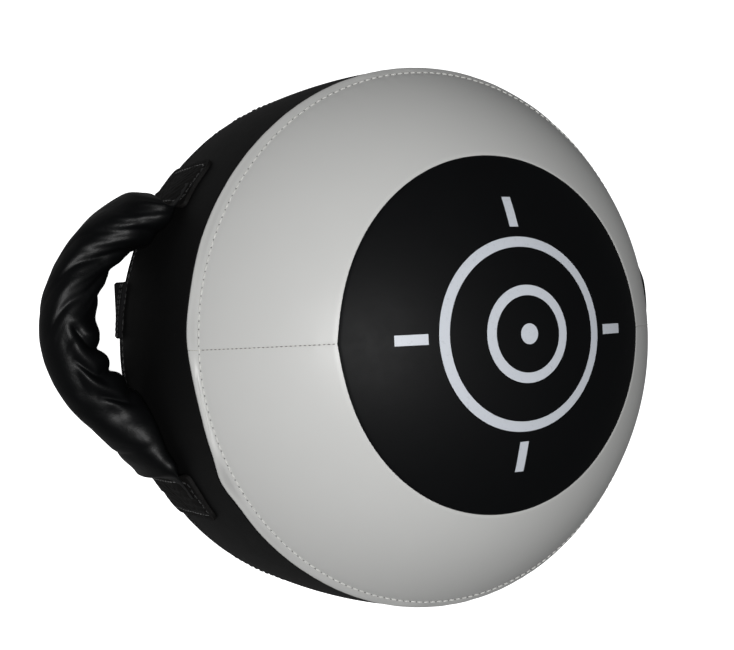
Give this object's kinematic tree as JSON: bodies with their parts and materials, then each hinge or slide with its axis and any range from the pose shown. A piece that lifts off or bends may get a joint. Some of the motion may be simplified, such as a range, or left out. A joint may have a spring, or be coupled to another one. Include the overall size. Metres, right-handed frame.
{
  "type": "round punch shield",
  "caption": "Round foam-filled punch shield with a domed pale face, a black centre disc, black side wall, padded loop handles on both sides and a flat strap across the back.",
  "frame": {"origin": "centre of the flat back, on the surface that the pad lies on", "axes": "+Z out of the domed striking face, +Y towards the upper half of the face, +X towards the right handle as the face is seen"},
  "size_m": [0.5524, 0.413, 0.2458],
  "materials": {
    "black_leather": "semi-matte coated synthetic leather, fine grain",
    "handle_leather": "soft semi-gloss synthetic leather, wrinkled",
    "pale_leather": "satin coated synthetic leather, cool off-white",
    "print_ink": "screen-printed pale ink",
    "white_thread": "twisted polyester thread",
    "black_thread": "twisted polyester thread",
    "webbing": "flat woven webbing",
    "firm_foam": "firm closed-cell foam",
    "soft_foam": "soft open-cell foam"
  },
  "bodies": {
    "pad": {"centre_disc": "black_leather", "face_upper": "pale_leather", "face_lower": "pale_leather", "printed_target": "print_ink", "rim_topstitch": "white_thread", "disc_seam_thread": "black_thread", "left_face_seam": "white_thread", "right_face_seam": "white_thread", "side_wall": "black_leather", "back_panel": "black_leather", "rear_piping": "black_leather", "rear_seam_thread": "black_thread", "dome_foam": "soft_foam", "impact_foam": "firm_foam", "core_foam": "soft_foam", "back_foam": "firm_foam", "rear_strap": "webbing", "strap_stitching": "black_thread", "left_upper_tab": "black_leather", "left_lower_tab": "black_leather", "right_upper_tab": "black_leather", "right_lower_tab": "black_leather", "left_tab_stitching": "black_thread", "right_tab_stitching": "black_thread", "left_webbing_ends": "webbing", "right_webbing_ends": "webbing", "left_wall_patches": "webbing", "right_wall_patches": "webbing"},
    "left_handle": {"left_grip_sleeve": "handle_leather", "left_grip_foam": "soft_foam", "left_webbing": "webbing"},
    "right_handle": {"right_grip_sleeve": "handle_leather", "right_grip_foam": "soft_foam", "right_webbing": "webbing"}
  },
  "joints": [
    {"name": "left_handle_swing", "type": "hinge", "parent": "pad", "child": "left_handle", "pos_m": [-0.184, 0, 0.05], "axis": [0, 1, 0], "range_deg": [-23, 28], "stiffness_Nm_per_rad": 6},
    {"name": "right_handle_swing", "type": "hinge", "parent": "pad", "child": "right_handle", "pos_m": [0.184, 0, 0.05], "axis": [0, -1, 0], "range_deg": [-23, 28], "stiffness_Nm_per_rad": 6}
  ]
}
